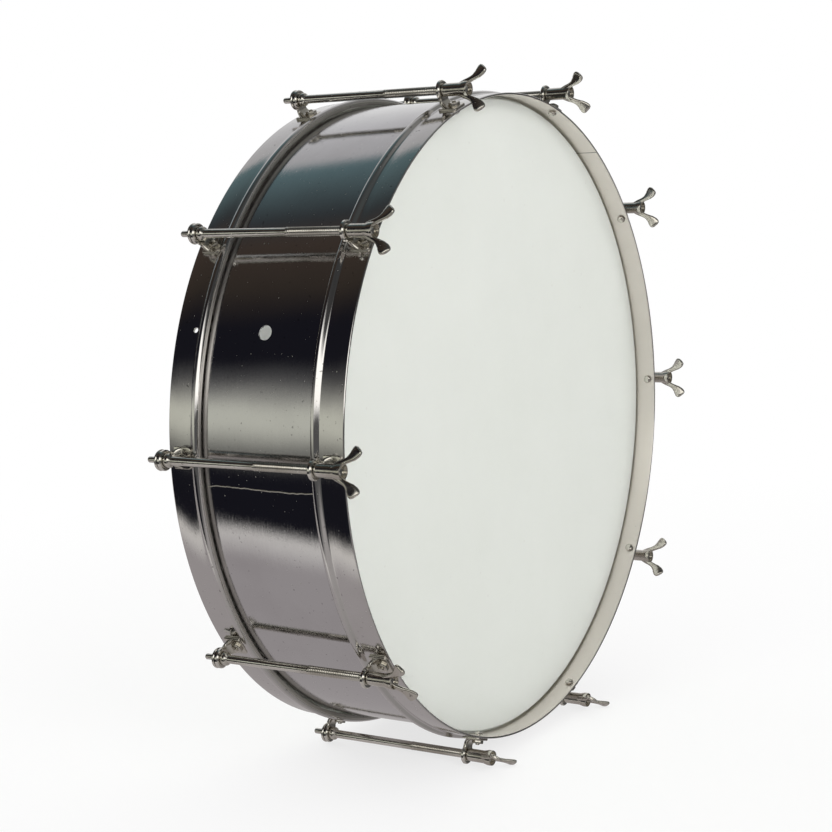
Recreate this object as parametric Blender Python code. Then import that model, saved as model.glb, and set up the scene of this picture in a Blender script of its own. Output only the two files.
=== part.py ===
"""A shallow two-headed drum with a metal shell, 18 inches across, standing on its edge.

The drum's axis lies along Y, with the front head at -Y. Ten stations of tension hardware
sit round the shell, and the drum stands on the two lowest ones, at z = 0.
"""
import math

import bmesh
import bpy
from mathutils import Matrix, Vector

# Driving dimensions, in metres
CLEARANCE = 0.0003
SHELL_RADIUS = 0.2286
SHELL_DEPTH = 0.105
SHELL_WALL = 0.0012
SHELL_FLANGE = 0.006
BEARING_ROUND = 0.0024
VENT_RADIUS = 0.005
VENT_ANGLE = math.radians(159.3)
HEAD_FILM = 0.0005
COLLAR_DEPTH = 0.0091
TUCK_WIDTH = 0.003
FLESH_HOOP_WIDTH = 0.003
FLESH_HOOP_DEPTH = 0.0035
HOOP_SHEET = 0.0016
HOOP_WIDTH = 0.0248
HOOP_END_ABOVE_COLLAR = 0.0001
HOOP_STANDOFF = 0.0038
BEAD_RISE = 0.0025
BEAD_WIDTH = 0.0056
STATIONS = 10
FACETS_PER_STATION = 4
BORE_SIDES = 10
ROD_STANDOFF = 0.0126
ROD_RADIUS = 0.003
THREAD_RADIUS = 0.0032
THREAD_LENGTH = 0.066
ROD_TIP_RADIUS = 0.0021
ROD_TIP_LENGTH = 0.0077
ROD_SHOULDER_RADIUS = 0.0047
ROD_SHOULDER_LENGTH = 0.0035
LUG_EYE_RADIUS = 0.007
LUG_EYE_THICKNESS = 0.003
LUG_WIDTH = 0.015
LUG_FOOT_THICKNESS = 0.002
LUG_FOOT_FRONT = 0.0125
LUG_FOOT_BACK = 0.0035
FRONT_EYE_INSET = 0.0135
SCREW_AHEAD_OF_EYE = 0.0075
SCREW_RADIUS = 0.0015
SCREW_HEAD_RADIUS = 0.0031
SCREW_HEAD_HEIGHT = 0.0015
SCREW_NUT_RADIUS = 0.0042
SCREW_NUT_HEIGHT = 0.0026
REAR_NUT_RADIUS = 0.0075
REAR_NUT_FLANGE = 0.0016
REAR_NUT_HUB_RADIUS = 0.0052
REAR_NUT_HEIGHT = 0.003
NUT_BARREL_RADIUS = 0.0045
NUT_BARREL_LENGTH = 0.0125
NUT_MOUTH_RADIUS = 0.0053
NUT_LENGTH = 0.0195
WING_REACH = 0.0152
WING_FORWARD = 0.012
WING_PAD_RADIUS = 0.004
WING_THICKNESS = 0.0024
# How far each pair of wings is turned from pointing straight out, in degrees
WING_TURNS = (89, 62, 44, -30, -73, 76, 88, 84, 48, -78)

# Sizes that follow from them
FACETS = STATIONS * FACETS_PER_STATION
STATION_STEP = 2 * math.pi / STATIONS
FLAT_FACTOR = math.cos(math.pi / FACETS)
SHELL_END = SHELL_DEPTH / 2
FILM_INSIDE_Y = SHELL_END + CLEARANCE
FILM_OUTSIDE_Y = FILM_INSIDE_Y + HEAD_FILM
COLLAR_INSIDE = SHELL_RADIUS + CLEARANCE / FLAT_FACTOR
COLLAR_OUTSIDE = COLLAR_INSIDE + HEAD_FILM
COLLAR_END_Y = FILM_OUTSIDE_Y - COLLAR_DEPTH
HOOP_END_Y = COLLAR_END_Y + HOOP_END_ABOVE_COLLAR
HOOP_EDGE_Y = HOOP_END_Y + HOOP_WIDTH
CREASE_Y = HOOP_END_Y + BEAD_WIDTH
HOOP_BAND_RADIUS = SHELL_RADIUS + HOOP_STANDOFF
BEAD_RADIUS = HOOP_BAND_RADIUS + BEAD_RISE
ROD_CIRCLE_RADIUS = HOOP_BAND_RADIUS + ROD_STANDOFF
HOOP_BAND_INSIDE = HOOP_BAND_RADIUS - HOOP_SHEET
BEAD_INSIDE = BEAD_RADIUS - HOOP_SHEET
FLESH_INSIDE = COLLAR_OUTSIDE + CLEARANCE / FLAT_FACTOR
FLESH_OUTSIDE = FLESH_INSIDE + FLESH_HOOP_WIDTH
FLESH_BOTTOM_Y = COLLAR_END_Y + CLEARANCE
FLESH_TOP_Y = FLESH_BOTTOM_Y + FLESH_HOOP_DEPTH
BAND_FLAT_HEIGHT = HOOP_BAND_RADIUS * FLAT_FACTOR
BAND_FLAT_INSIDE = HOOP_BAND_INSIDE * FLAT_FACTOR
FOOT_BOTTOM = BAND_FLAT_HEIGHT + CLEARANCE - ROD_CIRCLE_RADIUS
FOOT_TOP = FOOT_BOTTOM + LUG_FOOT_THICKNESS
ROD_HOLE_RADIUS = (THREAD_RADIUS + CLEARANCE) / math.cos(math.pi / BORE_SIDES)
SCREW_HOLE_RADIUS = (SCREW_RADIUS + CLEARANCE) / math.cos(math.pi / 8)
FRONT_EYE_Y = -(HOOP_EDGE_Y - FRONT_EYE_INSET)
REAR_EYE_Y = CREASE_Y + CLEARANCE + LUG_FOOT_FRONT
WING_NUT_SEAT_Y = FRONT_EYE_Y - LUG_EYE_THICKNESS / 2 - CLEARANCE
ROD_FRONT_Y = WING_NUT_SEAT_Y - NUT_LENGTH + 0.001
REAR_NUT_SEAT_Y = REAR_EYE_Y + LUG_EYE_THICKNESS / 2 + CLEARANCE
REAR_THREAD_END_Y = REAR_NUT_SEAT_Y + REAR_NUT_HEIGHT + 0.0006


def clear_scene():
    """Remove every object that the file starts with."""
    for old in list(bpy.data.objects):
        bpy.data.objects.remove(old, do_unlink=True)


def make_material(name, colour, roughness, metallic):
    """A plain surface of one colour."""
    material = bpy.data.materials.new(name)
    material.use_nodes = True
    shader = material.node_tree.nodes["Principled BSDF"]
    shader.inputs["Base Color"].default_value = (*colour, 1.0)
    shader.inputs["Roughness"].default_value = roughness
    shader.inputs["Metallic"].default_value = metallic
    return material


def finish_mesh(name, bm):
    """Turn a bmesh into a closed mesh with its faces pointing out."""
    bmesh.ops.remove_doubles(bm, verts=bm.verts, dist=0.000001)
    bmesh.ops.recalc_face_normals(bm, faces=bm.faces)
    mesh = bpy.data.meshes.new(name)
    bm.to_mesh(mesh)
    bm.free()
    mesh.shade_smooth()
    mesh.set_sharp_from_angle(angle=math.radians(35))
    return mesh


def turned(name, profile, sides, start=0.0, closed=True, centre=(0, 0, 0)):
    """Spin a profile of (radius, y) points round the Y axis."""
    bm = bmesh.new()
    points = []
    for radius, y in profile:
        points.append(bm.verts.new((radius * math.sin(start), y, radius * math.cos(start))))
    edges = []
    for index in range(len(points) - (0 if closed else 1)):
        edges.append(bm.edges.new((points[index], points[(index + 1) % len(points)])))
    bmesh.ops.spin(bm, geom=points + edges, cent=(0, 0, 0), axis=(0, 1, 0),
                   angle=2 * math.pi, steps=sides, use_merge=True)
    bmesh.ops.translate(bm, vec=Vector(centre), verts=bm.verts)
    return finish_mesh(name, bm)


def plate(name, outline, depth, frame):
    """Extrude a flat outline by a depth, both ways from its plane, in the given frame."""
    bm = bmesh.new()
    face = bm.faces.new([bm.verts.new((x, y, -depth / 2)) for x, y in outline])
    swept = bmesh.ops.extrude_face_region(bm, geom=[face])
    moved = [item for item in swept["geom"] if isinstance(item, bmesh.types.BMVert)]
    bmesh.ops.translate(bm, vec=(0, 0, depth), verts=moved)
    bmesh.ops.transform(bm, matrix=frame, verts=bm.verts)
    return finish_mesh(name, bm)


def drill(name, radius, length, sides, frame):
    """A round cutter along the frame's Z axis."""
    bm = bmesh.new()
    bmesh.ops.create_cone(bm, cap_ends=True, segments=sides, radius1=radius, radius2=radius,
                          depth=length, matrix=frame)
    return finish_mesh(name, bm)


def combined(name, base, joined=(), cut=()):
    """Join meshes to a base and cut others from it, and return the resulting mesh."""
    helpers = []
    body = bpy.data.objects.new(name + "_body", base)
    bpy.context.scene.collection.objects.link(body)
    for operation, meshes in (("UNION", joined), ("DIFFERENCE", cut)):
        for mesh in meshes:
            tool = bpy.data.objects.new(name + "_tool", mesh)
            bpy.context.scene.collection.objects.link(tool)
            tool.hide_render = True
            tool.display_type = "WIRE"
            helpers.append(tool)
            boolean = body.modifiers.new(operation.lower(), "BOOLEAN")
            boolean.operation = operation
            boolean.solver = "EXACT"
            boolean.object = tool
    bpy.context.view_layer.update()
    depsgraph = bpy.context.evaluated_depsgraph_get()
    result = bpy.data.meshes.new_from_object(body.evaluated_get(depsgraph))
    result.name = name
    for helper in helpers + [body]:
        bpy.data.objects.remove(helper, do_unlink=True)
    result.shade_smooth()
    result.set_sharp_from_angle(angle=math.radians(35))
    return result


def axis_frame(x_axis, y_axis, z_axis, place=(0, 0, 0)):
    """A matrix from three axes and a place."""
    frame = Matrix((x_axis, y_axis, z_axis)).transposed().to_4x4()
    frame.translation = Vector(place)
    return frame


def arc(centre, radius, start, end, steps):
    """Points on an arc, both ends included."""
    points = []
    for step in range(steps + 1):
        angle = start + (end - start) * step / steps
        points.append((centre[0] + radius * math.cos(angle), centre[1] + radius * math.sin(angle)))
    return points


def place(name, mesh, material, parent, location=(0, 0, 0), rotation=(0, 0, 0)):
    """Put a mesh in the scene as one named piece of its own material."""
    piece = bpy.data.objects.new(name, mesh)
    if not mesh.materials:
        mesh.materials.append(material)
    bpy.context.scene.collection.objects.link(piece)
    piece.parent = parent
    piece.location = location
    piece.rotation_euler = rotation
    return piece


def make_empty(name, parent=None, location=(0, 0, 0), rotation=(0, 0, 0)):
    """A guide that carries other objects."""
    empty = bpy.data.objects.new(name, None)
    bpy.context.scene.collection.objects.link(empty)
    empty.parent = parent
    empty.location = location
    empty.rotation_euler = rotation
    return empty


def mirrored(profile, side):
    """The profile on the front (-1) or rear (+1) side of the drum."""
    return [(radius, side * y) for radius, y in profile]


def shell_mesh():
    """The sheet shell with both edges turned in, and its vent hole."""
    half = [
        (SHELL_RADIUS, SHELL_END - BEARING_ROUND),
        (SHELL_RADIUS - 0.27 * BEARING_ROUND, SHELL_END - 0.3 * BEARING_ROUND),
        (SHELL_RADIUS - BEARING_ROUND, SHELL_END),
        (SHELL_RADIUS - SHELL_FLANGE, SHELL_END),
        (SHELL_RADIUS - SHELL_FLANGE, SHELL_END - SHELL_WALL),
        (SHELL_RADIUS - BEARING_ROUND - SHELL_WALL / 2, SHELL_END - SHELL_WALL),
        (SHELL_RADIUS - SHELL_WALL, SHELL_END - BEARING_ROUND - SHELL_WALL / 2),
    ]
    profile = half + mirrored(reversed(half), -1)
    base = turned("shell", profile, FACETS, start=math.pi / FACETS)
    outward = Vector((math.cos(VENT_ANGLE), 0, math.sin(VENT_ANGLE)))
    side = Vector((-outward.z, 0, outward.x))
    frame = axis_frame(side, outward.cross(side), outward, outward * SHELL_RADIUS)
    return combined("shell", base, cut=[drill("vent", VENT_RADIUS, 0.02, 12, frame)])


def head_mesh(side):
    """The drum skin: a flat film, its collar over the shell's edge and its tuck."""
    crown = SHELL_RADIUS - BEARING_ROUND
    shoulder = 0.27 * BEARING_ROUND
    drop = 0.3 * BEARING_ROUND
    profile = [
        (0, FILM_OUTSIDE_Y),
        (crown, FILM_OUTSIDE_Y),
        (COLLAR_OUTSIDE - shoulder, FILM_OUTSIDE_Y - drop),
        (COLLAR_OUTSIDE, FILM_OUTSIDE_Y - BEARING_ROUND),
        (COLLAR_OUTSIDE, COLLAR_END_Y),
        (COLLAR_OUTSIDE + TUCK_WIDTH, COLLAR_END_Y),
        (COLLAR_OUTSIDE + TUCK_WIDTH, COLLAR_END_Y - HEAD_FILM),
        (COLLAR_INSIDE, COLLAR_END_Y - HEAD_FILM),
        (COLLAR_INSIDE, FILM_INSIDE_Y - BEARING_ROUND),
        (COLLAR_INSIDE - shoulder, FILM_INSIDE_Y - drop),
        (crown, FILM_INSIDE_Y),
        (0, FILM_INSIDE_Y),
    ]
    return turned("head", mirrored(profile, side), FACETS, start=math.pi / FACETS, closed=False)


def flesh_hoop_mesh(side):
    """The ring that the skin is tucked under, with its outer top corner eased."""
    ease = FLESH_HOOP_WIDTH / 3
    profile = [
        (FLESH_INSIDE, FLESH_TOP_Y),
        (FLESH_OUTSIDE - ease, FLESH_TOP_Y),
        (FLESH_OUTSIDE, FLESH_TOP_Y - ease),
        (FLESH_OUTSIDE, FLESH_BOTTOM_Y),
        (FLESH_INSIDE, FLESH_BOTTOM_Y),
    ]
    return turned("flesh_hoop", mirrored(profile, side), FACETS, start=math.pi / FACETS)


def hoop_mesh(side, eye_y):
    """A counter hoop: a flat band and a rolled bead, which holds the flesh hoop."""
    bulge = BEAD_RADIUS - HOOP_BAND_RADIUS
    profile = [
        (HOOP_BAND_RADIUS, HOOP_EDGE_Y),
        (HOOP_BAND_RADIUS, CREASE_Y),
        (HOOP_BAND_RADIUS + 0.68 * bulge, CREASE_Y - 0.12 * BEAD_WIDTH),
        (BEAD_RADIUS, CREASE_Y - 0.4 * BEAD_WIDTH),
        (BEAD_RADIUS, HOOP_END_Y + 0.28 * BEAD_WIDTH),
        (BEAD_RADIUS - 0.3 * bulge, HOOP_END_Y + 0.05 * BEAD_WIDTH),
        (BEAD_INSIDE, HOOP_END_Y),
        (BEAD_INSIDE, CREASE_Y - 0.52 * BEAD_WIDTH),
        (BEAD_INSIDE - 0.3 * bulge, CREASE_Y - 0.27 * BEAD_WIDTH),
        (HOOP_BAND_INSIDE, CREASE_Y - 0.18 * BEAD_WIDTH),
        (HOOP_BAND_INSIDE, HOOP_EDGE_Y),
    ]
    base = turned("hoop", mirrored(profile, side), FACETS, start=math.pi / FACETS)
    holes = []
    for index in range(STATIONS):
        angle = index * STATION_STEP
        outward = Vector((math.cos(angle), 0, math.sin(angle)))
        along = Vector((0, 1, 0))
        centre = outward * HOOP_BAND_RADIUS + along * (eye_y - SCREW_AHEAD_OF_EYE)
        frame = axis_frame(along.cross(outward), along, outward, centre)
        holes.append(drill("screw_hole", SCREW_HOLE_RADIUS, 0.01, 8, frame))
    return combined("hoop", base, cut=holes)


def lug_mesh():
    """A bent bracket with its screw: an eye plate that flares into a foot running forward.

    The screw and its nut are fused with the lug that they fasten. The mesh's origin is the
    centre of the eye, Z is away from the drum and -Y is forward.
    """
    half = LUG_WIDTH / 2
    neck_height = -0.55 * LUG_EYE_RADIUS
    neck_angle = math.asin(-0.55)
    upright = arc((0, 0), LUG_EYE_RADIUS, neck_angle, math.pi - neck_angle, 6)
    flare = 0.94 * half
    upright += [(-flare, FOOT_TOP + 0.001), (-flare, FOOT_BOTTOM + 0.0005)]
    upright += [(flare, FOOT_BOTTOM + 0.0005), (flare, FOOT_TOP + 0.001)]
    across = axis_frame((1, 0, 0), (0, 0, 1), (0, -1, 0))
    eye_plate = plate("eye_plate", upright, LUG_EYE_THICKNESS, across)
    corner = 0.3 * half
    foot_outline = [
        (-half, LUG_FOOT_BACK), (-half, -LUG_FOOT_FRONT + corner),
        (-half + corner, -LUG_FOOT_FRONT), (half - corner, -LUG_FOOT_FRONT),
        (half, -LUG_FOOT_FRONT + corner), (half, LUG_FOOT_BACK),
    ]
    foot_frame = Matrix.Translation((0, 0, (FOOT_BOTTOM + FOOT_TOP) / 2))
    foot = plate("foot", foot_outline, LUG_FOOT_THICKNESS, foot_frame)
    fillet = 0.5 * LUG_EYE_THICKNESS + 0.0016
    heel = 0.5 * LUG_EYE_THICKNESS + 0.0005
    quarter = 0.25 * LUG_EYE_THICKNESS
    web_outline = [
        (heel, FOOT_TOP - 0.0007), (heel, FOOT_TOP + 0.0006),
        (quarter, neck_height - 0.0004), (-quarter, neck_height - 0.0004),
        (-fillet, FOOT_TOP + 0.0006), (-fillet, FOOT_TOP - 0.0007),
    ]
    along = axis_frame((0, 1, 0), (0, 0, 1), (1, 0, 0))
    web = plate("web", web_outline, 1.6 * half, along)
    rod_frame = axis_frame((1, 0, 0), (0, 0, 1), (0, -1, 0))
    rod_hole = drill("rod_hole", ROD_HOLE_RADIUS, 0.02, BORE_SIDES, rod_frame)
    return combined("lug", eye_plate, joined=[foot, web, screw_mesh()], cut=[rod_hole])


def rod_mesh():
    """A tension rod: threaded front, plain shank, shoulder, threaded rear and thin tip."""
    shoulder_y = REAR_EYE_Y - LUG_EYE_THICKNESS / 2 - CLEARANCE
    chamfer = 0.3 * THREAD_RADIUS
    profile = [
        (0, ROD_FRONT_Y),
        (THREAD_RADIUS - chamfer, ROD_FRONT_Y),
        (THREAD_RADIUS, ROD_FRONT_Y + chamfer),
        (THREAD_RADIUS, ROD_FRONT_Y + THREAD_LENGTH),
        (ROD_RADIUS, ROD_FRONT_Y + THREAD_LENGTH),
        (ROD_RADIUS, shoulder_y - ROD_SHOULDER_LENGTH),
        (ROD_SHOULDER_RADIUS, shoulder_y - ROD_SHOULDER_LENGTH),
        (ROD_SHOULDER_RADIUS, shoulder_y),
        (THREAD_RADIUS, shoulder_y),
        (THREAD_RADIUS, REAR_THREAD_END_Y),
        (ROD_TIP_RADIUS, REAR_THREAD_END_Y),
        (ROD_TIP_RADIUS, REAR_THREAD_END_Y + ROD_TIP_LENGTH),
        (0, REAR_THREAD_END_Y + ROD_TIP_LENGTH),
    ]
    return turned("tension_rod", profile, 8, closed=False)


def wing_nut_mesh():
    """A long-barrelled wing nut, with its seat at the origin and its mouth at -Y."""
    bore = ROD_HOLE_RADIUS
    profile = [
        (bore, 0),
        (NUT_BARREL_RADIUS, 0),
        (NUT_BARREL_RADIUS, -NUT_BARREL_LENGTH),
        (NUT_MOUTH_RADIUS, -0.5 * (NUT_BARREL_LENGTH + NUT_LENGTH)),
        (NUT_MOUTH_RADIUS, -NUT_LENGTH),
        (bore, -NUT_LENGTH),
    ]
    barrel = turned("barrel", profile, BORE_SIDES)
    root = 0.5 * (bore + NUT_BARREL_RADIUS)
    tip_y = -(NUT_LENGTH + WING_FORWARD)
    pad_centre = (WING_REACH - WING_PAD_RADIUS, tip_y + WING_PAD_RADIUS)
    outline = [(root, -NUT_BARREL_LENGTH), (0.45 * WING_REACH, -0.83 * NUT_LENGTH)]
    outline += arc(pad_centre, WING_PAD_RADIUS, math.radians(100), math.radians(-190), 6)
    outline += [(0.4 * WING_REACH, -1.1 * NUT_LENGTH), (root, -0.94 * NUT_LENGTH)]
    wings = []
    for side in (1, -1):
        frame = axis_frame((0, 0, side), (0, 1, 0), (-side, 0, 0))
        wings.append(plate("wing", outline, WING_THICKNESS, frame))
    return combined("wing_nut", barrel, joined=wings)


def rear_nut_mesh():
    """A flanged round nut that holds the rod's rear end against the lug."""
    profile = [
        (ROD_HOLE_RADIUS, 0),
        (REAR_NUT_RADIUS, 0),
        (REAR_NUT_RADIUS, REAR_NUT_FLANGE),
        (REAR_NUT_HUB_RADIUS, REAR_NUT_HEIGHT),
        (ROD_HOLE_RADIUS, REAR_NUT_HEIGHT),
    ]
    return turned("rear_nut", profile, BORE_SIDES)


def screw_mesh():
    """A lug screw with its nut: the round head is inside the hoop, and Z points outward."""
    head_top = BAND_FLAT_INSIDE - CLEARANCE - ROD_CIRCLE_RADIUS
    head_low = head_top - SCREW_HEAD_HEIGHT
    nut_low = FOOT_TOP - LUG_FOOT_THICKNESS / 4
    nut_top = FOOT_TOP + SCREW_NUT_HEIGHT
    screw_end = nut_top + 0.6 * SCREW_RADIUS
    profile = [
        (0, head_low), (0.75 * SCREW_HEAD_RADIUS, head_low),
        (SCREW_HEAD_RADIUS, head_top), (SCREW_RADIUS, head_top),
        (SCREW_RADIUS, nut_low), (SCREW_NUT_RADIUS, nut_low),
        (SCREW_NUT_RADIUS, nut_top), (SCREW_RADIUS, nut_top),
        (SCREW_RADIUS, screw_end), (0, screw_end),
    ]
    mesh = turned("screw", profile, 6, closed=False)
    mesh.transform(Matrix.Rotation(math.pi / 2, 4, "X"))
    mesh.transform(Matrix.Translation((0, -SCREW_AHEAD_OF_EYE, 0)))
    return mesh


def build_drum():
    """Make every piece round one axis and stand the drum on its lowest stations."""
    steel = ("shell_steel", (0.42, 0.41, 0.42), 0.16, 1.0)
    nickel = ("hoop_nickel", (0.46, 0.45, 0.45), 0.2, 1.0)
    hardware = ("hardware_nickel", (0.52, 0.5, 0.45), 0.3, 1.0)
    skin = ("head_skin", (0.74, 0.76, 0.7), 0.5, 0.0)
    metal = ("flesh_hoop_steel", (0.35, 0.35, 0.36), 0.35, 1.0)

    def material(kind, name):
        return make_material(kind[0] + "_" + name, *kind[1:])

    axis = make_empty("drum_axis")
    place("shell", shell_mesh(), material(steel, "shell"), axis)
    for word, side, eye_y in (("front", -1, FRONT_EYE_Y), ("rear", 1, REAR_EYE_Y)):
        place(word + "_hoop", hoop_mesh(side, eye_y), material(nickel, word), axis)
        place(word + "_head", head_mesh(side), material(skin, word), axis)
        place(word + "_flesh_hoop", flesh_hoop_mesh(side), material(metal, word), axis)

    lug = lug_mesh()
    rod = rod_mesh()
    nut = wing_nut_mesh()
    rear_nut = rear_nut_mesh()
    for index in range(STATIONS):
        number = str(index + 1)
        turn = math.pi / 2 - index * STATION_STEP
        station = make_empty("station_" + number, axis, rotation=(0, turn, 0))
        hardware_material = material(hardware, number)
        height = ROD_CIRCLE_RADIUS
        place("tension_rod_" + number, rod, hardware_material, station, (0, 0, height))
        place("front_lug_" + number, lug, hardware_material, station, (0, FRONT_EYE_Y, height))
        place("rear_lug_" + number, lug, hardware_material, station, (0, REAR_EYE_Y, height))
        place("wing_nut_" + number, nut, hardware_material, station, (0, WING_NUT_SEAT_Y, height),
              (0, -math.radians(WING_TURNS[index]), 0))
        place("rear_nut_" + number, rear_nut, hardware_material, station, (0, REAR_NUT_SEAT_Y, height))
    return axis


def stand_on_floor(axis):
    """Move the drum so that the middle of the underside of its box is the origin."""
    bpy.context.view_layer.update()
    corners = []
    for piece in bpy.context.scene.objects:
        if piece.type == "MESH":
            corners += [piece.matrix_world @ vertex.co for vertex in piece.data.vertices]
    lows = [min(corner[k] for corner in corners) for k in range(3)]
    highs = [max(corner[k] for corner in corners) for k in range(3)]
    axis.location = (-(lows[0] + highs[0]) / 2, -(lows[1] + highs[1]) / 2, -lows[2])
    bpy.context.view_layer.update()


clear_scene()
stand_on_floor(build_drum())
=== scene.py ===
"""The looks of a shallow metal-shelled drum: smooth metal, skins and worn nickel hardware."""
import math

import bmesh
import bpy
import numpy as np
from mathutils import Matrix, Vector


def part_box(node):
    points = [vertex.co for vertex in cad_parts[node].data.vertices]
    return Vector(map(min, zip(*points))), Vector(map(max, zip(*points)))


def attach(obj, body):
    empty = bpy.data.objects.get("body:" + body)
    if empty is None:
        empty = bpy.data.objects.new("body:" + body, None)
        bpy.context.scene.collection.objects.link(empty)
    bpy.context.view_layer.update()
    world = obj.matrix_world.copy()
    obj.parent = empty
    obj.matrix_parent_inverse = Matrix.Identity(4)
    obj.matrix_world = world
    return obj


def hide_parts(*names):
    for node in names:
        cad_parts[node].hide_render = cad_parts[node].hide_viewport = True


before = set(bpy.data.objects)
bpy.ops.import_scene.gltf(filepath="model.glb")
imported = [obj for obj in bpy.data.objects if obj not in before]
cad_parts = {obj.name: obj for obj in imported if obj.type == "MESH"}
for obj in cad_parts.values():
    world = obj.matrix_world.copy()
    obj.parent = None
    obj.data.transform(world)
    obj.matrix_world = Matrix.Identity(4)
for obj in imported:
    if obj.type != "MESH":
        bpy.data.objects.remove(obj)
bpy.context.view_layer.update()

# Sizes of the drum, in metres, from its shell and hoops
STATIONS = 10
SOLID_FACETS = 40
CLEARANCE = 0.0003
SHELL_RADIUS = 0.2286
SHELL_WALL = 0.0012
HOOP_BAND_RADIUS = 0.2324
BEAD_RADIUS = 0.2349
HOOP_SHEET = 0.0016
BEAD_WIDTH = 0.0056
FILM = 0.0005
ROD_CIRCLE = 0.245
ROD_RADIUS = 0.003
THREAD_RADIUS = 0.0032
THREAD_PITCH = 0.0014
THREAD_DEPTH = 0.0006
THREAD_LENGTH = 0.066
HOLE_RADIUS = 0.0036
FOOT_THICKNESS = 0.002
SCREW_Y = -0.0075
# Places along the drum's axis, from its middle
FRONT_EYE_Y = -0.0556
WING_NUT_SEAT_Y = -0.0574
REAR_EYE_Y = 0.0627
REAR_NUT_SEAT_Y = 0.0645
# Marks on the sheet metal
VENT_ANGLE = math.radians(159.3)
VENT_RADIUS = 0.005
SEAM_ANGLE = math.radians(184.8)
HOOP_JOINT_ANGLE = math.radians(55.0)
SMALL_HOLE_Y = 0.0534
SMALL_HOLE_RADIUS = 0.0018
SEAM_HALF_WIDTH = 0.0005
SEAM_SECTION = ((-1.0, -0.0001), (-0.6, 0.00018), (0.0, 0.00028), (0.6, 0.00018), (1.0, -0.0001))
SEAM_SEED = 5
JOINT_SECTION = ((-1, -0.0001), (-1, 0.0001), (1, 0.0001), (1, -0.0001))
JOINT_HALF_WIDTH = 0.0002
# Facets round the shell, heads and hoops
RING_SIDES = 320
# How far each wing nut is turned from pointing straight out, in degrees
WING_TURNS = (89, 62, 44, -30, -73, 76, 88, 84, 48, -78)
# Bodies of the frame
ROOT = "drum_body"
FRONT = "front_hoop_assembly"

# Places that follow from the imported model
hoop_low, hoop_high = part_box("front_hoop")
rear_low, rear_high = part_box("rear_hoop")
head_low, head_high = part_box("front_head")
shell_low, shell_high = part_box("shell")
rod_low, rod_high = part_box("tension_rod_1")
AXIS = Vector(((shell_low.x + shell_high.x) / 2, (hoop_low.y + rear_high.y) / 2,
               (shell_low.z + shell_high.z) / 2))
EDGE_Y = (rear_high.y - hoop_low.y) / 2
HOOP_END_Y = rear_low.y - AXIS.y
HEAD_Y = AXIS.y - head_low.y
COLLAR_END_Y = HEAD_Y - (head_high.y - head_low.y) + FILM
SHELL_END = (shell_high.y - shell_low.y) / 2
CREASE_Y = HOOP_END_Y + BEAD_WIDTH


def link(obj):
    """Put an object in the scene."""
    bpy.context.scene.collection.objects.link(obj)
    return obj


def smooth(mesh, angle=40):
    """Shade a mesh smooth, with its sharper edges kept."""
    mesh.shade_smooth()
    mesh.set_sharp_from_angle(angle=math.radians(angle))


def arc(centre, radius, start, end, steps):
    """Points on an arc given in degrees, both ends included."""
    points = []
    for step in range(steps + 1):
        angle = math.radians(start + (end - start) * step / steps)
        points.append((centre[0] + radius * math.cos(angle), centre[1] + radius * math.sin(angle)))
    return points


def turned(name, profile, sides, closed=True):
    """A mesh turned round the Y axis from a profile of (radius, y) points."""
    bm = bmesh.new()
    points = [bm.verts.new((0, y, max(radius, 0))) for radius, y in profile]
    count = len(points) if closed else len(points) - 1
    edges = [bm.edges.new((points[i], points[(i + 1) % len(points)])) for i in range(count)]
    bmesh.ops.spin(bm, geom=points + edges, cent=(0, 0, 0), axis=(0, 1, 0),
                   angle=2 * math.pi, steps=sides, use_merge=True)
    bmesh.ops.remove_doubles(bm, verts=bm.verts, dist=1e-6)
    bmesh.ops.recalc_face_normals(bm, faces=bm.faces)
    mesh = bpy.data.meshes.new(name)
    bm.to_mesh(mesh)
    bm.free()
    smooth(mesh)
    return mesh


def loft(name, rings):
    """A closed mesh through rings of points, with its ends filled."""
    bm = bmesh.new()
    rows = [[bm.verts.new(point) for point in ring] for ring in rings]
    count = len(rows[0])
    for first, second in zip(rows, rows[1:]):
        for i in range(count):
            j = (i + 1) % count
            bm.faces.new((first[i], first[j], second[j], second[i]))
    bm.faces.new(list(reversed(rows[0])))
    bm.faces.new(rows[-1])
    bmesh.ops.recalc_face_normals(bm, faces=bm.faces)
    mesh = bpy.data.meshes.new(name)
    bm.to_mesh(mesh)
    bm.free()
    smooth(mesh)
    return mesh


def joined(name, meshes):
    """One mesh from several."""
    bm = bmesh.new()
    for mesh in meshes:
        bm.from_mesh(mesh)
    result = bpy.data.meshes.new(name)
    bm.to_mesh(result)
    bm.free()
    smooth(result)
    return result


def bevelled(mesh, width, segments=3):
    """The mesh with its edges rounded."""
    helper = link(bpy.data.objects.new("helper", mesh))
    bevel = helper.modifiers.new("bevel", "BEVEL")
    bevel.width = width
    bevel.segments = segments
    bevel.limit_method = "ANGLE"
    bevel.angle_limit = math.radians(35)
    bpy.context.view_layer.update()
    result = bpy.data.meshes.new_from_object(helper.evaluated_get(bpy.context.evaluated_depsgraph_get()))
    bpy.data.objects.remove(helper)
    smooth(result)
    return result


def plate(outline, low, high):
    """A flat outline in XY extruded from one height to another."""
    bm = bmesh.new()
    face = bm.faces.new([bm.verts.new((x, y, low)) for x, y in outline])
    swept = bmesh.ops.extrude_face_region(bm, geom=[face])
    moved = [item for item in swept["geom"] if isinstance(item, bmesh.types.BMVert)]
    bmesh.ops.translate(bm, vec=(0, 0, high - low), verts=moved)
    bmesh.ops.recalc_face_normals(bm, faces=bm.faces)
    mesh = bpy.data.meshes.new("plate")
    bm.to_mesh(mesh)
    bm.free()
    return mesh


def station_matrix(index):
    """X round the drum, Y along its axis and Z outward, at the rod circle."""
    turn = Matrix.Rotation(math.pi / 2 - index * 2 * math.pi / STATIONS, 4, "Y")
    return Matrix.Translation(AXIS) @ turn @ Matrix.Translation((0, 0, ROD_CIRCLE))


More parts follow.
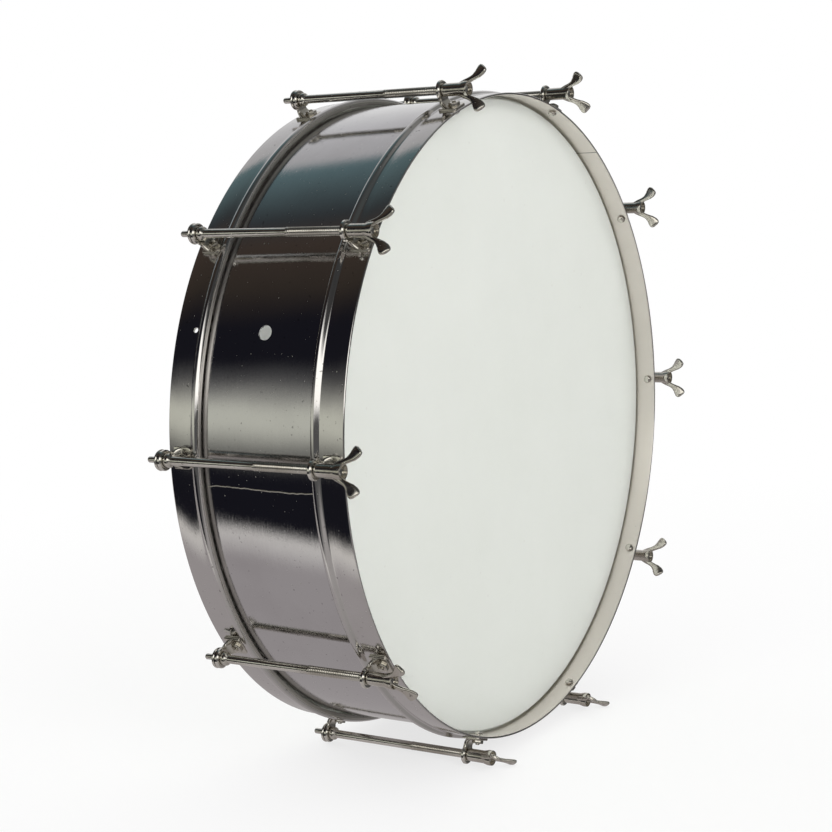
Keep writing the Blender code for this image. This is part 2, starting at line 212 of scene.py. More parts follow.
def add(name, mesh, material, body, matrix=None, node=None):
    """Place a finished mesh on a body, standing for a node of the frame."""
    obj = link(bpy.data.objects.new(name, mesh))
    obj.matrix_world = matrix if matrix is not None else Matrix.Translation(AXIS)
    if not mesh.materials:
        mesh.materials.append(material)
    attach(obj, body)
    if node:
        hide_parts(node)
    return obj


class Nodes:
    """A short way to wire a material's nodes."""

    def __init__(self, name):
        self.material = bpy.data.materials.new(name)
        self.material.use_nodes = True
        self.tree = self.material.node_tree
        self.shader = self.tree.nodes["Principled BSDF"]
        self.place = self.new("ShaderNodeTexCoord").outputs["Object"]

    def new(self, kind):
        return self.tree.nodes.new(kind)

    def wire(self, source, target):
        self.tree.links.new(source, target)

    def stretched(self, scale, source=None):
        mapping = self.new("ShaderNodeMapping")
        mapping.inputs["Scale"].default_value = scale
        self.wire(source or self.place, mapping.inputs["Vector"])
        return mapping.outputs["Vector"]

    def around(self, turn_scale, axis_scale):
        """A vector that runs round the drum's axis slowly and along it quickly."""
        split = self.new("ShaderNodeSeparateXYZ")
        self.wire(self.place, split.inputs["Vector"])
        turn = self.math("ARCTAN2", split.outputs["Z"], split.outputs["X"])
        joint = self.new("ShaderNodeCombineXYZ")
        self.wire(self.math("MULTIPLY", turn, turn_scale), joint.inputs["X"])
        self.wire(self.math("MULTIPLY", split.outputs["Y"], axis_scale), joint.inputs["Y"])
        return joint.outputs["Vector"]

    def noise(self, scale, detail=3.0, vector=None, rough=0.5):
        noise = self.new("ShaderNodeTexNoise")
        noise.inputs["Scale"].default_value = scale
        noise.inputs["Detail"].default_value = detail
        noise.inputs["Roughness"].default_value = rough
        self.wire(vector or self.place, noise.inputs["Vector"])
        return noise.outputs["Fac"]

    def span(self, value, low, high, to_low, to_high):
        ranged = self.new("ShaderNodeMapRange")
        ranged.inputs["From Min"].default_value = low
        ranged.inputs["From Max"].default_value = high
        ranged.inputs["To Min"].default_value = to_low
        ranged.inputs["To Max"].default_value = to_high
        self.wire(value, ranged.inputs["Value"])
        return ranged.outputs["Result"]

    def math(self, operation, first, second=None):
        node = self.new("ShaderNodeMath")
        node.operation = operation
        for index, value in enumerate((first, second)):
            if value is None:
                continue
            if isinstance(value, (int, float)):
                node.inputs[index].default_value = value
            else:
                self.wire(value, node.inputs[index])
        return node.outputs["Value"]

    def mix(self, factor, first, second):
        node = self.new("ShaderNodeMix")
        node.data_type = "RGBA"
        self.wire(factor, node.inputs["Factor"])
        for socket, value in (("A", first), ("B", second)):
            target = [item for item in node.inputs if item.name == socket and item.type == "RGBA"][0]
            if isinstance(value, tuple):
                target.default_value = (*value, 1.0)
            else:
                self.wire(value, target)
        return [item for item in node.outputs if item.type == "RGBA"][0]

    def inward(self):
        """1 where the surface faces the drum's axis, 0 elsewhere."""
        geometry = self.new("ShaderNodeNewGeometry")
        facing = self.new("ShaderNodeVectorMath")
        facing.operation = "DOT_PRODUCT"
        self.wire(self.place, facing.inputs[0])
        self.wire(geometry.outputs["True Normal"], facing.inputs[1])
        return self.span(facing.outputs["Value"], -0.16, -0.08, 1.0, 0.0)

    def bump(self, height, strength, distance, normal=None):
        node = self.new("ShaderNodeBump")
        node.inputs["Strength"].default_value = strength
        node.inputs["Distance"].default_value = distance
        self.wire(height, node.inputs["Height"])
        if normal is not None:
            self.wire(normal, node.inputs["Normal"])
        return node.outputs["Normal"]


def metal(name, bright, dull, rough_low, rough_high, wave, brushed=True, stain_share=0.5, inside=None):
    """Plated sheet: brushing round the drum, hazy patches, specks, pits and slight waves; where inside is
    given, the faces toward the axis get a pale painted reflection of the white head.
    """
    n = Nodes(name)
    n.shader.inputs["Metallic"].default_value = 1.0
    if brushed:
        lines = n.noise(1.0, 5.0, n.around(5.0, 900.0), 0.7)
    else:
        lines = n.noise(700.0, 3.0, None, 0.6)
    cloud = n.noise(14.0, 4.0, None, 0.6)
    pits = n.noise(420.0, 2.0, None, 0.4)
    specks = n.noise(640.0, 1.0, None, 0.3)
    stain = n.span(cloud, 0.45, 0.75, 0.0, stain_share)
    tone = n.mix(stain, bright, dull)
    pit_mask = n.span(pits, 0.70, 0.78, 0.0, 0.6)
    tone = n.mix(pit_mask, tone, tuple(0.25 * part for part in dull))
    speck_mask = n.span(specks, 0.77, 0.81, 0.0, 0.8)
    matt = n.math("MULTIPLY", speck_mask, 0.8)
    # Faces toward the axis take the pale inside tone and a matter finish: a painted reflection of the
    # white head on the hoop's inner band.
    if inside is not None:
        inward = n.inward()
        tone = n.mix(inward, tone, inside)
        matt = n.math("MAXIMUM", matt, n.math("MULTIPLY", inward, 0.34))
    n.wire(n.mix(speck_mask, tone, (0.75, 0.74, 0.7)), n.shader.inputs["Base Color"])
    rough = n.math("ADD", n.span(lines, 0.3, 0.7, 0.0, 0.5 * (rough_high - rough_low)),
                   n.span(cloud, 0.4, 0.7, rough_low, 0.5 * (rough_low + rough_high)))
    n.wire(n.math("MAXIMUM", rough, matt), n.shader.inputs["Roughness"])
    waves = n.bump(n.noise(9.0, 1.0), 1.0, wave)
    fine = n.bump(lines, 0.1, 0.0004, waves)
    n.wire(fine, n.shader.inputs["Normal"])
    return n.material


def skin_material():
    """A white skin with faint mottling and a soft sheen."""
    n = Nodes("head_skin")
    cloud = n.noise(6.0, 5.0, None, 0.6)
    fibre = n.noise(60.0, 4.0, n.stretched((1.0, 1.0, 0.25)), 0.6)
    tone = n.mix(n.span(cloud, 0.35, 0.7, 0.0, 1.0), (0.80, 0.845, 0.75), (0.765, 0.81, 0.715))
    speck = n.span(n.noise(240.0, 2.0, None, 0.4), 0.74, 0.8, 0.0, 0.25)
    n.wire(n.mix(speck, tone, (0.52, 0.5, 0.42)), n.shader.inputs["Base Color"])
    n.wire(n.span(fibre, 0.3, 0.7, 0.42, 0.58), n.shader.inputs["Roughness"])
    n.shader.inputs["Specular IOR Level"].default_value = 0.35
    n.shader.inputs["Subsurface Weight"].default_value = 0.8
    n.shader.inputs["Subsurface Radius"].default_value = (0.003, 0.003, 0.003)
    n.shader.inputs["Subsurface Scale"].default_value = 1.0
    n.wire(n.bump(fibre, 0.08, 0.0003), n.shader.inputs["Normal"])
    return n.material


SHELL_METAL = metal("shell_metal", (0.62, 0.61, 0.62), (0.5, 0.48, 0.49), 0.02, 0.08, 0.0010)
# The hoop's pale inside tone is a painted reflection of the white head, not a colour of the metal.
HOOP_METAL = metal("hoop_metal", (0.66, 0.645, 0.64), (0.5, 0.48, 0.47), 0.03, 0.12, 0.0008,
                   inside=(0.83, 0.78, 0.73))
HARDWARE = metal("hardware_nickel", (0.80, 0.78, 0.73), (0.34, 0.30, 0.24), 0.08, 0.28, 0.0, False, 0.8)
FLESH_METAL = metal("flesh_hoop_metal", (0.72, 0.7, 0.66), (0.5, 0.47, 0.42), 0.35, 0.5, 0.0, False)
SEAM_METAL = metal("solder_seam", (0.72, 0.7, 0.64), (0.5, 0.48, 0.42), 0.3, 0.5, 0.0, False)
JOINT_DARK = metal("joint_shadow", (0.06, 0.055, 0.05), (0.04, 0.035, 0.03), 0.5, 0.7, 0.0, False)
SKIN = skin_material()


def holed(mesh, angle, y, radius, at_radius):
    """The mesh with a round hole through it at an angle round the drum."""
    body = link(bpy.data.objects.new("blank", mesh))
    bm = bmesh.new()
    outward = Vector((math.cos(angle), 0, math.sin(angle)))
    turn = outward.to_track_quat("Z", "Y").to_matrix().to_4x4()
    place = Matrix.Translation(outward * at_radius + Vector((0, y, 0))) @ turn
    bmesh.ops.create_cone(bm, cap_ends=True, segments=40, radius1=radius, radius2=radius, depth=0.012,
                          matrix=place)
    cutter_mesh = bpy.data.meshes.new("cutter")
    bm.to_mesh(cutter_mesh)
    bm.free()
    cutter = link(bpy.data.objects.new("cutter", cutter_mesh))
    boolean = body.modifiers.new("hole", "BOOLEAN")
    boolean.object = cutter
    bpy.context.view_layer.update()
    result = bpy.data.meshes.new_from_object(body.evaluated_get(bpy.context.evaluated_depsgraph_get()))
    bpy.data.objects.remove(body)
    bpy.data.objects.remove(cutter)
    smooth(result)
    return result


def side_profile(profile, side):
    """The profile on the front (-1) or rear (1) side."""
    return [(radius, side * y) for radius, y in profile]


def make_hoop(name, side, body):
    """A flat band with a crease and a rolled bead round the flesh hoop."""
    bulge = BEAD_RADIUS - HOOP_BAND_RADIUS
    inside = HOOP_BAND_RADIUS - HOOP_SHEET
    lip = HOOP_SHEET / 2
    bead_r = BEAD_WIDTH / 2
    centre = (BEAD_RADIUS - bead_r, HOOP_END_Y + bead_r)
    profile = arc((inside + lip, EDGE_Y - lip), lip, 180, 0, 8)
    fillet = 0.0016
    profile += [(HOOP_BAND_RADIUS, CREASE_Y + 0.0045)]
    profile += arc((HOOP_BAND_RADIUS + fillet - 0.0001, CREASE_Y + 0.0014), fillet, 178, 232, 6)
    profile += arc(centre, bead_r, 48, -75, 16)
    profile += [(BEAD_RADIUS - HOOP_SHEET, HOOP_END_Y + 0.0012)]
    profile += [(BEAD_RADIUS - HOOP_SHEET, CREASE_Y - 0.52 * BEAD_WIDTH)]
    profile += [(BEAD_RADIUS - HOOP_SHEET - 0.3 * bulge, CREASE_Y - 0.27 * BEAD_WIDTH)]
    profile += [(inside, CREASE_Y - 0.18 * BEAD_WIDTH)]
    mesh = turned(name, side_profile(profile, side), RING_SIDES)
    if side > 0:
        mesh = holed(mesh, VENT_ANGLE, SMALL_HOLE_Y, SMALL_HOLE_RADIUS, HOOP_BAND_RADIUS)
    return add("visual_" + name, mesh, HOOP_METAL, body, node=name)


def make_shell():
    """The sheet shell with turned-in edges and its vent."""
    edge_round = 0.0024
    inner = SHELL_RADIUS - 0.006
    half = arc((SHELL_RADIUS - edge_round, SHELL_END - edge_round), edge_round, 0, 90, 6)
    half += [(inner, SHELL_END), (inner, SHELL_END - SHELL_WALL)]
    half += [(SHELL_RADIUS - edge_round, SHELL_END - SHELL_WALL)]
    half += [(SHELL_RADIUS - SHELL_WALL, SHELL_END - edge_round)]
    profile = half + [(radius, -y) for radius, y in reversed(half)]
    mesh = turned("shell", profile, RING_SIDES)
    result = holed(mesh, VENT_ANGLE, 0.0, VENT_RADIUS, SHELL_RADIUS)
    add("visual_shell", result, SHELL_METAL, ROOT, node="shell")


def make_seams():
    """The shell's wavy soldered lap, and the butt joint of each hoop."""
    rng = np.random.default_rng(SEAM_SEED)
    rings = []
    steps = 60
    drift = np.cumsum(rng.normal(0, 0.00016, steps + 1))
    drift -= np.linspace(drift[0], drift[-1], steps + 1)
    for step in range(steps + 1):
        y = -0.0422 + 0.0844 * step / steps
        middle = SEAM_ANGLE + drift[step] / SHELL_RADIUS
        ring = []
        for offset, height in SEAM_SECTION:
            angle = middle + offset * SEAM_HALF_WIDTH / SHELL_RADIUS
            radius = SHELL_RADIUS + height
            ring.append((radius * math.cos(angle), y, radius * math.sin(angle)))
        rings.append(ring)
    add("visual_shell_seam", loft("shell_seam", rings), SEAM_METAL, ROOT)
    for name, side, body in (("front", -1, FRONT), ("rear", 1, ROOT)):
        for place, radius in (("outside", HOOP_BAND_RADIUS + 0.00002),
                              ("inside", HOOP_BAND_RADIUS - HOOP_SHEET - 0.00002)):
            rings = []
            for y in (CREASE_Y + 0.0012, EDGE_Y - 0.0006):
                ring = []
                for offset, height in JOINT_SECTION:
                    angle = HOOP_JOINT_ANGLE + offset * JOINT_HALF_WIDTH / radius
                    reach = radius + height
                    ring.append((reach * math.cos(angle), side * y, reach * math.sin(angle)))
                rings.append(ring)
            add(f"visual_{name}_joint_{place}", loft("joint", rings), JOINT_DARK, body)


def make_head(name, side, body):
    """The skin over the bearing edge, down its collar and lapped on the flesh hoop."""
    outer = SHELL_RADIUS + CLEARANCE + FILM
    edge_round = 0.0014
    lap_round = 0.0006
    steps = 12
    corner = (outer - edge_round, HEAD_Y - edge_round)
    profile = [(0, HEAD_Y)] + [(outer * k / steps, HEAD_Y) for k in range(1, steps)]
    profile += arc(corner, edge_round, 90, 0, 8)
    lap_top = COLLAR_END_Y + 0.0056
    lap_end = BEAD_RADIUS - HOOP_SHEET - 0.0006
    lap_centre = (outer + lap_round, lap_top + lap_round)
    profile += arc(lap_centre, lap_round, 180, 270, 4)
    profile += [(lap_end, lap_top), (lap_end, lap_top - FILM)]
    profile += arc(lap_centre, lap_round + FILM, 270, 180, 4)
    profile += arc(corner, edge_round - FILM, 0, 90, 8)
    profile += [(outer * k / steps, HEAD_Y - FILM) for k in range(steps - 1, 0, -1)]
    profile += [(0, HEAD_Y - FILM)]
    mesh = turned(name, side_profile(profile, side), RING_SIDES, closed=False)
    add("visual_" + name, mesh, SKIN, body, node=name)


def make_flesh_hoop(name, side):
    """The channel that holds the skin's edge, just inside the hoop's bead."""
    inner = SHELL_RADIUS + CLEARANCE + FILM + CLEARANCE
    outer = BEAD_RADIUS - HOOP_SHEET - 0.0004
    low, high = COLLAR_END_Y - 0.0001, COLLAR_END_Y + 0.0046
    edge = 0.0009
    profile = arc((outer - edge, high - edge), edge, 0, 90, 4)
    profile += arc((inner + 0.0003, high - 0.0003), 0.0003, 90, 180, 3)
    profile += arc((inner + edge, low + edge), edge, 180, 270, 6)
    profile += arc((outer - edge, low + edge), edge, 270, 360, 4)
    mesh = turned(name, side_profile(profile, side), RING_SIDES)
    add("visual_" + name, mesh, FLESH_METAL, ROOT, node=name)


def threaded(y_start, y_end, radius, sides=24, samples=6):
    """Rings of a helical thread along Y."""
    rings = []
    steps = max(2, round(abs(y_end - y_start) / THREAD_PITCH * samples))
    for step in range(steps + 1):
        y = y_start + (y_end - y_start) * step / steps
        ring = []
        for side in range(sides):
            angle = 2 * math.pi * side / sides
            phase = (y / THREAD_PITCH + side / sides) % 1.0
            depth = THREAD_DEPTH * abs(2 * phase - 1)
            fade = min(1.0, step / (2 * samples), (steps - step) / (2 * samples))
            r = radius - depth * fade
            ring.append((r * math.sin(angle), y, r * math.cos(angle)))
        rings.append(ring)
    return rings


def circles(outline, sides=24):
    """Round rings along Y at each (radius, y)."""
    rings = []
    for radius, y in outline:
        ring = []
        for side in range(sides):
            angle = 2 * math.pi * side / sides
            ring.append((radius * math.sin(angle), y, radius * math.cos(angle)))
        rings.append(ring)
    return rings


def rod_mesh():
    """Threaded front, plain shank, shoulder, threaded rear end and thin tip."""
    front = rod_low.y - AXIS.y
    rear = rod_high.y - AXIS.y
    nut_low, nut_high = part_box("rear_nut_1")
    shoulder = nut_low.y - AXIS.y - 0.0036
    tip = nut_high.y - AXIS.y + 0.0006
    thread_end = front + THREAD_LENGTH
    tapered = [(0.0008, front + 0.0004), (0.0022, front + 0.0005), (0.0027, front + 0.0009)]
    rings = circles(tapered)
    rings += threaded(front + 0.0012, thread_end, THREAD_RADIUS)
    outline = [
        (ROD_RADIUS, thread_end + 0.0004), (ROD_RADIUS, shoulder - 0.0046),
        (0.0036, shoulder - 0.0042), (0.0044, shoulder - 0.0036), (0.0047, shoulder - 0.003),
        (0.0047, shoulder - 0.0004), (0.0044, shoulder), (THREAD_RADIUS, shoulder),
        (THREAD_RADIUS, tip - 0.0003), (0.0028, tip), (0.0021, tip + 0.0002),
        (0.0021, rear - 0.0008), (0.0018, rear - 0.0002), (0.001, rear),
    ]
    return loft("tension_rod", rings + circles(outline))


def wing_rings(side):
    """Rings of an ear that leaves the barrel, curls forward and spreads into a canted paddle."""
    # The ear's middle line as (outward, forward), then its width, thickness and twist there
    spine = [(0.0024, -0.0136), (0.0045, -0.0168), (0.0060, -0.0197), (0.0075, -0.0226),
             (0.0093, -0.0252), (0.0113, -0.0272), (0.0131, -0.0286), (0.0143, -0.0295), (0.0148, -0.0299)]
    width = [0.0056, 0.0046, 0.0038, 0.0042, 0.0062, 0.0080, 0.0084, 0.0070, 0.0042]
    thick = [0.0040, 0.0034, 0.0029, 0.0027, 0.0026, 0.0027, 0.0029, 0.0026, 0.0012]
    cant = [0, 2, 5, 8, 11, 14, 16, 16, 16]
    rings = []
    fine = 4
    for step in range((len(spine) - 1) * fine + 1):
        t = step / fine
        low = min(int(t), len(spine) - 2)
        part = t - low
        mixed = []
        for table in (width, thick, cant):
            before = table[max(low - 1, 0)]
            after = table[min(low + 2, len(table) - 1)]
            a, b = table[low], table[low + 1]
            mixed.append(a + 0.5 * part * (b - before + part * (2 * before - 5 * a + 4 * b - after
                                                                + part * (3 * (a - b) + after - before))))
        w, h, lean = mixed
        x = spine[low][0] + (spine[low + 1][0] - spine[low][0]) * part
        y = spine[low][1] + (spine[low + 1][1] - spine[low][1]) * part
        back = spine[max(low - 1, 0)] if part < 0.5 else spine[low]
        ahead = spine[low + 1] if part < 0.5 else spine[min(low + 2, len(spine) - 1)]
        along = Vector((0, ahead[1] - back[1], ahead[0] - back[0])).normalized()
        forward = Vector((1, 0, 0)).cross(along)
        turn = math.radians(lean)
        broad = forward * math.cos(turn) - Vector((1, 0, 0)) * math.sin(turn)
        thin = broad.cross(along)
        ring = []
        for k in range(20):
            angle = 2 * math.pi * k / 20
            a = w / 2 * math.copysign(abs(math.cos(angle)) ** 0.7, math.cos(angle))
            b = h / 2 * math.copysign(abs(math.sin(angle)) ** 0.7, math.sin(angle))
            point = Vector((0, y, x)) + broad * a + thin * b
            ring.append((side * point.x, point.y, side * point.z))
        rings.append(ring)
    return rings


def wing_nut_mesh():
    """A long barrel, a flared open mouth and two ears."""
    bore = HOLE_RADIUS
    profile = [
        (bore, -0.0002), (0.0041, 0), (0.0044, -0.0004), (0.0045, -0.0010), (0.0045, -0.0118),
        (0.0046, -0.0128), (0.0050, -0.0145), (0.0054, -0.0162), (0.0054, -0.0188),
        (0.0052, -0.0194), (0.0049, -0.0195),
        (0.0045, -0.0193), (0.0043, -0.0180), (0.0040, -0.0165), (bore, -0.0160),
    ]
    barrel = turned("barrel", profile, 48)
    ears = []
    for side in (1, -1):
        ears.append(loft("ear", wing_rings(side)))
    return joined("wing_nut", [barrel] + ears)


def lug_mesh():
    """A cast bracket with its screw and nut: rounded eye, tapering arm and foot."""
    flat = math.cos(math.pi / SOLID_FACETS)
    foot_top = HOOP_BAND_RADIUS * flat + CLEARANCE + FOOT_THICKNESS - ROD_CIRCLE
    foot_low = foot_top - FOOT_THICKNESS
    ring = [(HOLE_RADIUS, 0.0013), (0.0040, 0.0015), (0.0062, 0.0015), (0.0069, 0.0008),
            (0.0069, -0.0008), (0.0062, -0.0015), (0.0040, -0.0015), (HOLE_RADIUS, -0.0013)]
    eye = turned("eye", ring, 40)
    middle = (foot_low + foot_top) / 2
    # The arm's middle line as (y, z), then its width and thickness there
    line = [(0.0, -0.0048), (0.0, -0.0064), (-0.0003, -0.0080), (-0.0011, -0.0094),
            (-0.0024, -0.0106), (-0.0041, -0.0115), (-0.0060, middle), (-0.0085, middle)]
    widths = [0.0108, 0.0100, 0.0106, 0.0118, 0.0130, 0.0140, 0.0148, 0.0148]
    depths = [0.0029, 0.0028, 0.0028, 0.0030, 0.0030, 0.0026, 0.0021, 0.0020]
    rings = []
    for index, (y, z) in enumerate(line):
        before = line[max(index - 1, 0)]
        after = line[min(index + 1, len(line) - 1)]
        along = Vector((0, after[0] - before[0], after[1] - before[1])).normalized()
        thin = Vector((1, 0, 0)).cross(along)
        loop = []
        for k in range(24):
            angle = 2 * math.pi * k / 24
            a = widths[index] / 2 * math.copysign(abs(math.cos(angle)) ** 0.4, math.cos(angle))
            b = depths[index] / 2 * math.copysign(abs(math.sin(angle)) ** 0.55, math.sin(angle))
            loop.append((a, y + thin.y * b, z + thin.z * b))
        rings.append(loop)
    arm = loft("arm", rings)
    half = 0.0074
    corner = 0.0026
    outline = [(-half, 0.0014)]
    outline += arc((-half + corner, -0.0123 + corner), corner, 180, 270, 5)
    outline += arc((half - corner, -0.0123 + corner), corner, 270, 360, 5)
    outline += [(half, 0.0014)]
    foot = bevelled(plate(outline, foot_low, foot_top), 0.0005)
    hexagon = [(x, y + SCREW_Y) for x, y in arc((0, 0), 0.0041, 0, 300, 5)]
    nut = bevelled(plate(hexagon, foot_top - 0.0002, foot_top + 0.0025), 0.0004)
    shank = [(0, 0.0009), (0.0011, 0.0009), (0.0015, 0.0005), (0.0015, -0.0085), (0, -0.0085)]
    stud = turned("stud", shank, 20, closed=False)
    stud.transform(Matrix.Rotation(math.pi / 2, 4, "X"))
    stud.transform(Matrix.Translation((0, SCREW_Y, foot_top + 0.0026)))
    head_top = (HOOP_BAND_RADIUS - HOOP_SHEET) * flat - CLEARANCE - ROD_CIRCLE
    dome = turned("dome", [(0, -0.0015), (0.001, -0.00147), (0.002, -0.0013), (0.0027, -0.0009),
                           (0.0031, -0.0003), (0.0031, 0.0), (0, 0.0)], 28, closed=False)
    dome.transform(Matrix.Rotation(math.pi / 2, 4, "X"))
    dome.transform(Matrix.Translation((0, SCREW_Y, head_top)))
    return joined("lug", [eye, arm, foot, nut, stud, dome])


def rear_nut_mesh():
    """A flanged round nut with a low hub."""
    profile = [
        (HOLE_RADIUS, 0.0), (0.0066, 0.0), (0.0070, 0.0004), (0.0071, 0.0008), (0.0070, 0.0013),
        (0.0069, 0.0016), (0.0056, 0.0018), (0.0052, 0.0022), (0.0050, 0.0028), (0.0046, 0.003),
        (HOLE_RADIUS, 0.003),
    ]
    return turned("rear_nut", profile, 48)


def make_stations():
    """The rods, lugs and nuts at every station."""
    rod = rod_mesh()
    wing = wing_nut_mesh()
    lug = lug_mesh()
    nut = rear_nut_mesh()
    for index in range(STATIONS):
        number = str(index + 1)
        base = station_matrix(index)
        add("visual_rod_" + number, rod, HARDWARE, ROOT, base, "tension_rod_" + number)
        for word, body, side_y in (("front", FRONT, FRONT_EYE_Y), ("rear", ROOT, REAR_EYE_Y)):
            place = base @ Matrix.Translation((0, side_y, 0))
            add(f"visual_{word}_lug_{number}", lug, HARDWARE, body, place, f"{word}_lug_{number}")
        place = base @ Matrix.Translation((0, REAR_NUT_SEAT_Y, 0))
        add("visual_rear_nut_" + number, nut, HARDWARE, ROOT, place, "rear_nut_" + number)
        spin = Matrix.Rotation(-math.radians(WING_TURNS[index]), 4, "Y")
        place = base @ Matrix.Translation((0, WING_NUT_SEAT_Y, 0)) @ spin
        add("visual_wing_nut_" + number, wing, HARDWARE, f"wing_nut_{number}_body", place,
            "wing_nut_" + number)


def zone_ramp(n, value, stops):
    """Soft-edged zones of grey and tinted light along a value from 0 to 1."""
    ramp = n.new("ShaderNodeValToRGB")
    n.wire(value, ramp.inputs["Fac"])
    ramp.color_ramp.interpolation = "LINEAR"
    points = ramp.color_ramp.elements
    while len(points) > 1:
        points.remove(points[-1])
    for index, (at, colour) in enumerate(stops):
        point = points[0] if index == 0 else points.new(at)
        point.position = at
        point.color = (*colour, 1.0)
    return ramp.outputs["Color"]


def make_surround():
    """A dim room that only reflections see: a wide tube round the drum's axis, with its ends."""
    radius, front, back = 2.6, -3.0, 4.5
    sides = 96
    bm = bmesh.new()
    rows = []
    for y in (front, back):
        rows.append([bm.verts.new((radius * math.cos(2 * math.pi * k / sides), y,
                                   radius * math.sin(2 * math.pi * k / sides))) for k in range(sides)])
    for k in range(sides):
        following = (k + 1) % sides
        bm.faces.new((rows[0][k], rows[0][following], rows[1][following], rows[1][k]))
    bm.faces.new(rows[0])
    bm.faces.new(list(reversed(rows[1])))
    mesh = bpy.data.meshes.new("surround")
    bm.to_mesh(mesh)
    bm.free()
    obj = link(bpy.data.objects.new("surround", mesh))
    obj.location = AXIS
    n = Nodes("surround")
    split = n.new("ShaderNodeSeparateXYZ")
    n.wire(n.place, split.inputs["Vector"])
    turn = n.math("ARCTAN2", split.outputs["Z"], split.outputs["X"])
    share = n.math("FRACT", n.math("ADD", n.math("DIVIDE", turn, 2 * math.pi), 1.0))
    wander = n.noise(2.2, 3.0)
    share = n.math("ADD", share, n.math("MULTIPLY", n.math("SUBTRACT", wander, 0.5), 0.012))

    def at(degrees):
        return degrees / 360

    pale, dim, grey = (0.80, 0.80, 0.80), (0.26, 0.26, 0.25), (0.50, 0.50, 0.505)
    teal, deep = (0.13, 0.205, 0.22), (0.04, 0.046, 0.05)
    brown, black = (0.06, 0.045, 0.036), (0.011, 0.011, 0.016)
    streak, mauve = (0.66, 0.67, 0.58), (0.41, 0.385, 0.385)
    # Zones behind the drum, which its sheet metal shows
    rear = zone_ramp(n, share, [
        (0.0, pale), (at(30), pale), (at(48), (0.66, 0.66, 0.67)), (at(72), grey), (at(75), teal),
        (at(84), (0.10, 0.15, 0.16)), (at(101), deep), (at(112), brown),
        (at(130), (0.04, 0.032, 0.026)), (at(142), black), (at(156), black),
        (at(163), (0.1, 0.1, 0.1)), (at(168), (0.34, 0.34, 0.31)), (at(173), streak),
        (at(179), streak), (at(187), (0.22, 0.22, 0.2)), (at(194), black), (at(214), black),
        (at(218), (0.78, 0.76, 0.72)), (at(223), (0.62, 0.6, 0.58)), (at(228), mauve),
        (at(300), mauve), (1.0, (0.5, 0.48, 0.47))])
    # Zones before the drum, which beads, edges and hardware show
    front_zones = zone_ramp(n, share, [
        (0.0, (0.06, 0.06, 0.06)), (at(12), (0.1, 0.1, 0.1)), (at(35), dim), (at(70), dim),
        (at(80), (0.08, 0.09, 0.09)), (at(120), (0.05, 0.05, 0.05)), (at(140), (0.06, 0.06, 0.06)),
        (at(150), (1.6, 1.58, 1.5)), (at(168), (1.6, 1.58, 1.5)), (at(176), (0.1, 0.1, 0.1)),
        (at(205), (0.12, 0.12, 0.12)), (at(220), (0.45, 0.43, 0.42)), (at(300), (0.3, 0.29, 0.28)),
        (at(335), (0.08, 0.08, 0.08)), (1.0, (0.06, 0.06, 0.06))])
    ahead = n.span(split.outputs["Y"], -0.4, 0.2, 0.0, 1.0)
    colour = n.mix(ahead, front_zones, rear)
    glow = n.new("ShaderNodeEmission")
    n.wire(colour, glow.inputs["Color"])
    n.wire(glow.outputs["Emission"], n.tree.nodes["Material Output"].inputs["Surface"])
    mesh.materials.append(n.material)
    obj.visible_camera = False
    obj.visible_shadow = False
    obj.visible_diffuse = False
    obj.visible_transmission = False


def floor_material():
    """A pale floor whose open part reaches the backdrop's white, with the drum's shadow kept."""
    n = Nodes("floor")
    n.shader.inputs["Base Color"].default_value = (0.9, 0.9, 0.9, 1.0)
    n.shader.inputs["Roughness"].default_value = 0.9
    n.shader.inputs["Specular IOR Level"].default_value = 0.1
    length = n.new("ShaderNodeVectorMath")
    length.operation = "LENGTH"
    n.wire(n.place, length.inputs[0])
    fade = n.span(length.outputs["Value"], 0.35, 1.1, 0.72, 1.0)
    path = n.new("ShaderNodeLightPath")
    share = n.math("MULTIPLY", fade, path.outputs["Is Camera Ray"])
    glow = n.new("ShaderNodeEmission")
    both = n.new("ShaderNodeMixShader")
    n.wire(share, both.inputs[0])
    n.wire(n.shader.outputs[0], both.inputs[1])
    n.wire(glow.outputs[0], both.inputs[2])
    n.wire(both.outputs[0], n.tree.nodes["Material Output"].inputs["Surface"])
    return n.material


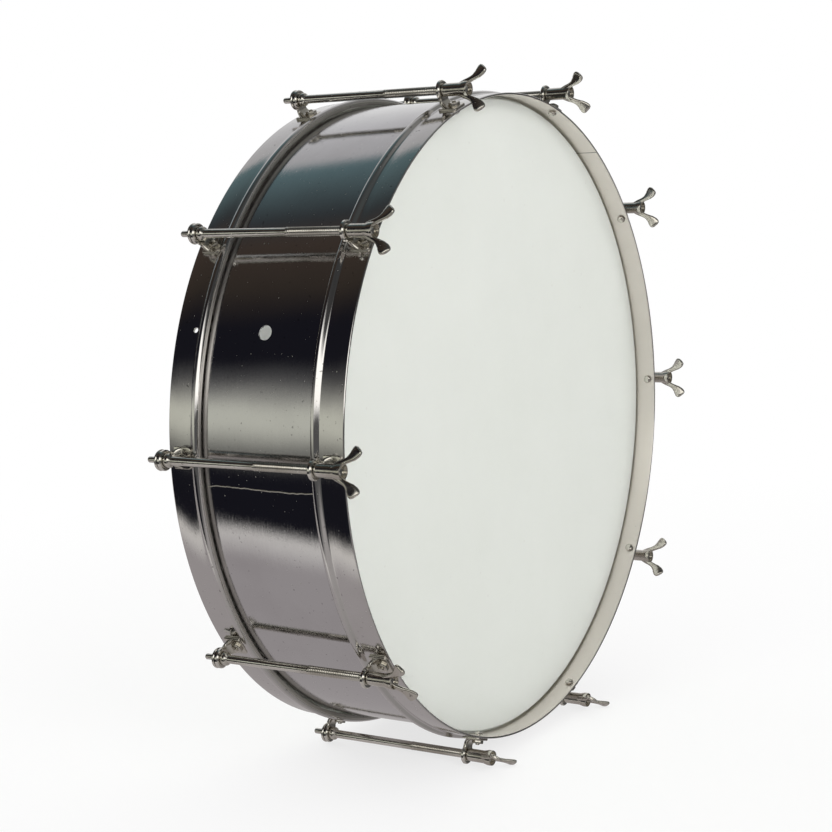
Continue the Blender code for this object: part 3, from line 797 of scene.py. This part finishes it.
def make_stage():
    """A pale floor, soft light, the dim surround and a white backdrop."""
    size = 6.0
    floor_mesh = plate([(-size, -size), (size, -size), (size, size), (-size, size)], -0.02, -0.0005)
    floor = link(bpy.data.objects.new("floor", floor_mesh))
    floor_mesh.materials.append(floor_material())
    floor.visible_glossy = False
    make_surround()

    world = bpy.data.worlds.new("studio")
    world.use_nodes = True
    bpy.context.scene.world = world
    tree = world.node_tree
    background = tree.nodes["Background"]
    path = tree.nodes.new("ShaderNodeLightPath")
    seen = path.outputs["Is Camera Ray"]
    for name in ("Is Glossy Ray", "Is Transmission Ray"):
        total = tree.nodes.new("ShaderNodeMath")
        total.operation = "ADD"
        total.use_clamp = True
        tree.links.new(seen, total.inputs[0])
        tree.links.new(path.outputs[name], total.inputs[1])
        seen = total.outputs["Value"]
    strength = tree.nodes.new("ShaderNodeMapRange")
    strength.inputs["To Min"].default_value = 0.72
    strength.inputs["To Max"].default_value = 1.0
    tree.links.new(seen, strength.inputs["Value"])
    tree.links.new(strength.outputs["Result"], background.inputs["Strength"])
    background.inputs["Color"].default_value = (1, 1, 1, 1)

    lamps = (("key", (-1.3, -2.6, 1.5), 42.0, 1.6), ("fill", (2.0, -2.2, 0.9), 16.0, 2.0),
             ("back", (0.5, 2.8, 1.1), 40.0, 2.2))
    for name, place, power, width in lamps:
        light = bpy.data.lights.new(name, "AREA")
        light.energy = power
        light.size = width
        lamp = link(bpy.data.objects.new(name, light))
        lamp.visible_glossy = False
        lamp.location = place
        lamp.rotation_euler = (AXIS - Vector(place)).to_track_quat("-Z", "Y").to_euler()


def make_camera():
    """The photograph's viewpoint, fitted to the hoops' outlines, in an 832 pixel frame."""
    pixels = 832
    azimuth = math.radians(-58.739)
    elevation = math.radians(7.666)
    roll = math.radians(-2.212)
    distance = 1.3178
    focal_pixels = 1763.33
    centre_pixels = (442.19, 413.15)
    back = Vector((math.sin(azimuth) * math.cos(elevation), -math.cos(azimuth) * math.cos(elevation),
                   math.sin(elevation)))
    right = Vector((math.cos(azimuth), math.sin(azimuth), 0))
    up = back.cross(right)
    turned_right = right * math.cos(roll) + up * math.sin(roll)
    turned_up = up * math.cos(roll) - right * math.sin(roll)
    camera = bpy.data.cameras.new("camera")
    camera.sensor_width = 36.0
    camera.lens = focal_pixels * camera.sensor_width / pixels
    camera.shift_x = -(centre_pixels[0] - pixels / 2) / pixels
    camera.shift_y = (centre_pixels[1] - pixels / 2) / pixels
    obj = link(bpy.data.objects.new("camera", camera))
    rotation = Matrix((turned_right, turned_up, back)).transposed().to_4x4()
    obj.matrix_world = Matrix.Translation(AXIS + back * distance) @ rotation
    bpy.context.scene.camera = obj


make_shell()
make_hoop("front_hoop", -1, FRONT)
make_hoop("rear_hoop", 1, ROOT)
make_head("front_head", -1, ROOT)
make_head("rear_head", 1, ROOT)
make_flesh_hoop("front_flesh_hoop", -1)
make_flesh_hoop("rear_flesh_hoop", 1)
make_seams()
make_stations()
make_stage()
make_camera()
bpy.context.scene.view_settings.view_transform = "Standard"
